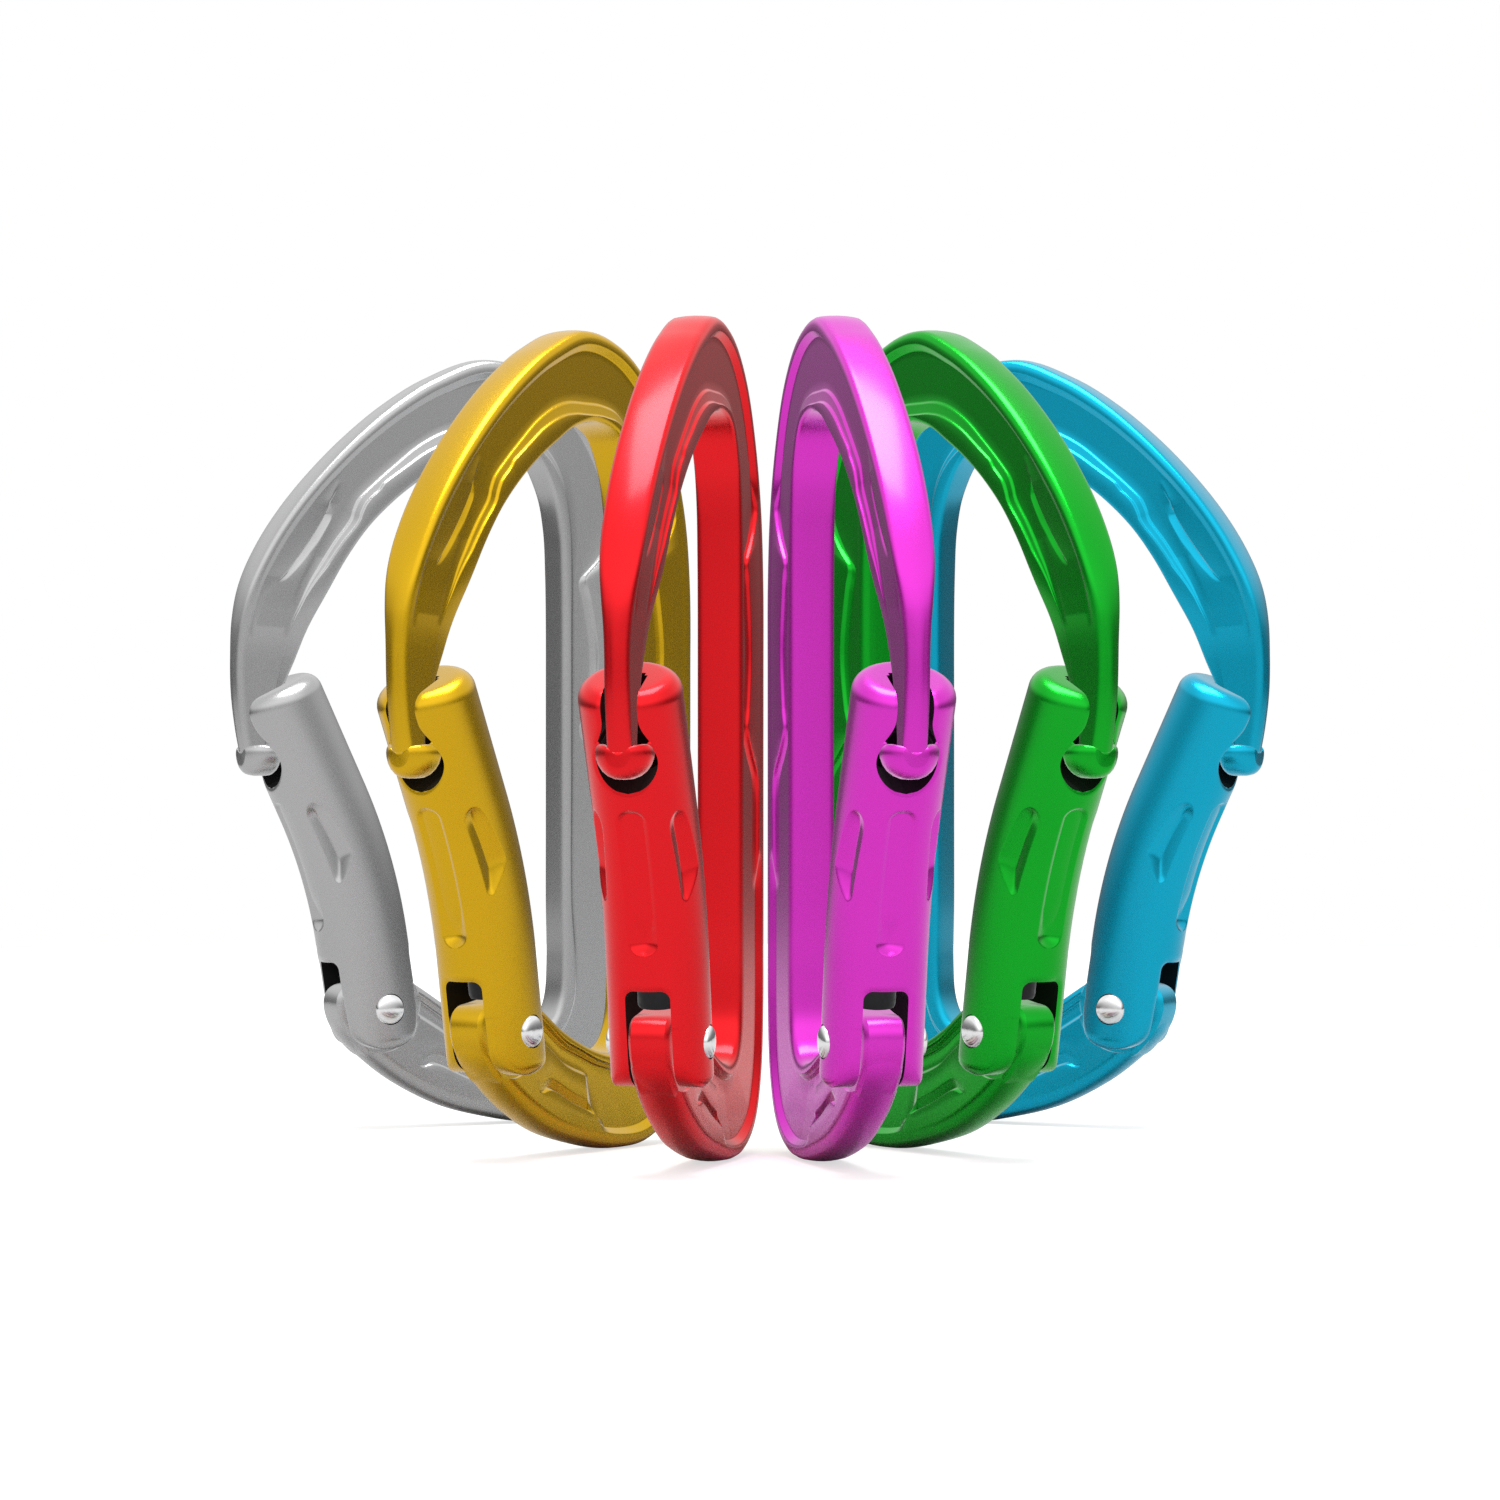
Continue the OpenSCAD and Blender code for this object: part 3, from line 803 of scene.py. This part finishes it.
def ranged(nodes, links, source, low, high):
    """A noise's usual range stretched to a range of values."""
    span = nodes.new("ShaderNodeMapRange")
    span.inputs["From Min"].default_value = 0.3
    span.inputs["From Max"].default_value = 0.7
    span.inputs["To Min"].default_value = low
    span.inputs["To Max"].default_value = high
    links.new(source, span.inputs["Value"])
    return span.outputs["Result"]


def anodised(name, colour):
    """Bead-blasted and anodised aluminium: a fine even grain under a thin clear oxide."""
    material, nodes, links, shader = node_material(name)
    shader.inputs["Metallic"].default_value = 1.0
    shader.inputs["Coat Weight"].default_value = 0.2
    shader.inputs["Coat Roughness"].default_value = 0.16
    shader.inputs["Coat IOR"].default_value = 1.6
    shader.inputs["Specular IOR Level"].default_value = 0.5
    cloud = noise(nodes, links, 60.0)
    grain = noise(nodes, links, 5200.0, 2.0)
    mix = nodes.new("ShaderNodeMix")
    mix.data_type = "RGBA"
    mix.inputs["A"].default_value = (*[c * 0.93 for c in colour], 1)
    mix.inputs["B"].default_value = (*colour, 1)
    links.new(cloud.outputs["Fac"], mix.inputs["Factor"])
    links.new(mix.outputs["Result"], shader.inputs["Base Color"])
    links.new(ranged(nodes, links, grain.outputs["Fac"], 0.24, 0.32), shader.inputs["Roughness"])
    bump = nodes.new("ShaderNodeBump")
    bump.inputs["Strength"].default_value = 0.02
    bump.inputs["Distance"].default_value = 0.00002
    links.new(grain.outputs["Fac"], bump.inputs["Height"])
    links.new(bump.outputs["Normal"], shader.inputs["Normal"])
    return material


def painted_slot_shade(name, colour):
    """Painted shade inside the gate's narrow slots and bore: a near-black matt colour standing in for the
    little light that reaches there.
    """
    material, nodes, links, shader = node_material(name)
    shader.inputs["Metallic"].default_value = 0.0
    shader.inputs["Roughness"].default_value = 0.7
    shader.inputs["Specular IOR Level"].default_value = 0.01
    cloud = noise(nodes, links, 900.0)
    mix = nodes.new("ShaderNodeMix")
    mix.data_type = "RGBA"
    mix.inputs["A"].default_value = (*[0.004 + c * 0.008 for c in colour], 1)
    mix.inputs["B"].default_value = (*[0.006 + c * 0.02 for c in colour], 1)
    links.new(cloud.outputs["Fac"], mix.inputs["Factor"])
    links.new(mix.outputs["Result"], shader.inputs["Base Color"])
    return material


def steel(name, colour, low, high):
    """Steel with fine scuffs, its roughness between two values."""
    material, nodes, links, shader = node_material(name)
    shader.inputs["Metallic"].default_value = 1.0
    shader.inputs["Base Color"].default_value = (*colour, 1)
    scuffs = noise(nodes, links, 1800.0, 4.0)
    links.new(ranged(nodes, links, scuffs.outputs["Fac"], low, high), shader.inputs["Roughness"])
    bump = nodes.new("ShaderNodeBump")
    bump.inputs["Strength"].default_value = 0.12
    bump.inputs["Distance"].default_value = 0.00005
    links.new(scuffs.outputs["Fac"], bump.inputs["Height"])
    links.new(bump.outputs["Normal"], shader.inputs["Normal"])
    return material


# ---------------------------------------------------------------- the six carabiners

MESHES = {
    "frame": make_frame(),
    "gate": make_gate(),
    "rivet": make_rivet(),
    "plunger": make_plunger(),
    "spring": make_spring(),
}
BODY_OF = {"frame": "carabiner", "gate": "gate_set", "rivet": "gate_set", "spring": "gate_set",
           "plunger": "plunger_set"}
STEELS = {
    "rivet": ("rivet_steel", steel("rivet_steel", (0.86, 0.86, 0.87), 0.07, 0.16)),
    "spring": ("spring_steel", steel("spring_steel", (0.55, 0.55, 0.56), 0.22, 0.34)),
    "plunger": ("plunger_steel", steel("plunger_steel", (0.03, 0.03, 0.032), 0.4, 0.55)),
}


def placed(mesh, place, turn):
    """A copy of a unit's mesh, in metres, where the unit stands."""
    copy = mesh.copy()
    n = len(copy.vertices)
    co = np.empty(n * 3)
    copy.vertices.foreach_get("co", co)
    co = co.reshape(n, 3)
    a = math.radians(turn)
    x = place[0] + co[:, 0] * math.cos(a) - co[:, 1] * math.sin(a)
    y = place[1] + co[:, 0] * math.sin(a) + co[:, 1] * math.cos(a)
    copy.vertices.foreach_set("co", (np.stack([x, y, co[:, 2]], 1) * MM).ravel())
    copy.update()
    return copy


for unit, (place, turn, colour) in UNITS.items():
    finish = anodised(f"{unit}_anodised", colour)
    # Painted shade for the gate's slots and bore, which would otherwise look as bright as the outside
    shade = painted_slot_shade(f"{unit}_inside", colour)
    for part, mesh in MESHES.items():
        piece = object_from(placed(mesh, place, turn), f"{unit}_{part}_piece")
        slot, material = STEELS.get(part, (f"{unit}_anodised", finish))
        if part == "gate":
            piece.data.materials[0] = material
            piece.data.materials[1] = shade
        else:
            piece.data.materials.clear()
            piece.data.materials.append(material)
        # Each carabiner reflects the studio alone, as if lit on its own
        piece.visible_glossy = False
        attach(piece, f"{unit}_{BODY_OF[part]}")
        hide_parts(f"{unit}_{part}")

# ---------------------------------------------------------------- stage, lights and camera


def disc(radius):
    """A flat round floor."""
    turn = np.linspace(0, 2 * math.pi, 96, endpoint=False)
    mesh = bpy.data.meshes.new("disc")
    mesh.from_pydata([(radius * math.cos(a), radius * math.sin(a), 0.0) for a in turn], [], [range(96)])
    return mesh


FLOOR_RADIUS = 0.6

floor = object_from(disc(FLOOR_RADIUS), "floor")
pale, pale_nodes, pale_links, pale_shader = node_material("pale_floor")
pale_shader.inputs["Base Color"].default_value = (0.45, 0.45, 0.45, 1)
pale_shader.inputs["Roughness"].default_value = 0.9
pale_shader.inputs["Specular IOR Level"].default_value = 0.1
pale_shader.inputs["Emission Color"].default_value = (1, 1, 1, 1)
seen_floor = pale_nodes.new("ShaderNodeLightPath")
glow = pale_nodes.new("ShaderNodeMath")
glow.operation = "MULTIPLY"
glow.inputs[1].default_value = 0.62
pale_links.new(seen_floor.outputs["Is Camera Ray"], glow.inputs[0])
pale_links.new(glow.outputs[0], pale_shader.inputs["Emission Strength"])
floor.data.materials.append(pale)


def softbox(name, place, target, size, watts):
    """A rectangular area light that looks at a target."""
    light = bpy.data.lights.new(name, "AREA")
    light.shape = "RECTANGLE"
    light.size, light.size_y = size
    light.energy = watts
    lamp = bpy.data.objects.new(name, light)
    lamp.location = place
    lamp.rotation_euler = (Vector(target) - Vector(place)).to_track_quat("-Z", "Y").to_euler()
    bpy.context.scene.collection.objects.link(lamp)


softbox("top_box", (0, -0.05, 0.7), (0, 0, 0.05), (0.45, 0.35), 5.5)

# The world's brightness in reflections: everywhere, and added in front and above
WORLD_DARK, WORLD_FRONT, WORLD_ABOVE = 0.15, 0.5, 0.85


def studio_world():
    """White behind the object; in reflections bright above, mid in front and dark at the back."""
    world = bpy.data.worlds.new("studio")
    world.use_nodes = True
    nodes, links = world.node_tree.nodes, world.node_tree.links

    def math_node(kind, a, b):
        node = nodes.new("ShaderNodeMath")
        node.operation = kind
        for socket, value in zip(node.inputs, (a, b)):
            if isinstance(value, (int, float)):
                socket.default_value = value
            else:
                links.new(value, socket)
        return node.outputs[0]

    def smooth(source, low, high, top):
        span = nodes.new("ShaderNodeMapRange")
        span.interpolation_type = "SMOOTHSTEP"
        for name, value in (("From Min", low), ("From Max", high), ("To Min", 0), ("To Max", top)):
            span.inputs[name].default_value = value
        links.new(source, span.inputs["Value"])
        return span.outputs["Result"]

    place = nodes.new("ShaderNodeTexCoord")
    axes = nodes.new("ShaderNodeSeparateXYZ")
    links.new(place.outputs["Generated"], axes.inputs[0])
    above = smooth(axes.outputs["Z"], -0.02, 0.45, WORLD_ABOVE)
    front = smooth(math_node("MULTIPLY", axes.outputs["Y"], -1), 0.0, 1.0, WORLD_FRONT)
    total = math_node("ADD", math_node("ADD", above, front), WORLD_DARK)
    path = nodes.new("ShaderNodeLightPath")
    mix = nodes.new("ShaderNodeMix")
    mix.data_type = "FLOAT"
    links.new(path.outputs["Is Camera Ray"], mix.inputs["Factor"])
    links.new(total, mix.inputs[2])
    mix.inputs[3].default_value = 1.0
    links.new(mix.outputs[0], nodes["Background"].inputs["Strength"])
    nodes["Background"].inputs["Color"].default_value = (1, 1, 1, 1)
    return world


bpy.context.scene.world = studio_world()
bpy.context.scene.view_settings.view_transform = "Standard"

camera = bpy.data.cameras.new("camera")
camera.lens = 110.1
camera.sensor_width = 36
camera.clip_start = 0.01
eye = bpy.data.objects.new("camera", camera)
eye.location = (0, -0.5595, 0.048945)
eye.rotation_euler = (math.pi / 2, 0, 0)
bpy.context.scene.collection.objects.link(eye)
bpy.context.scene.camera = eye


def corners(box):
    """A box's two corners as plain lists of numbers."""
    return [[float(v) for v in corner] for corner in box]
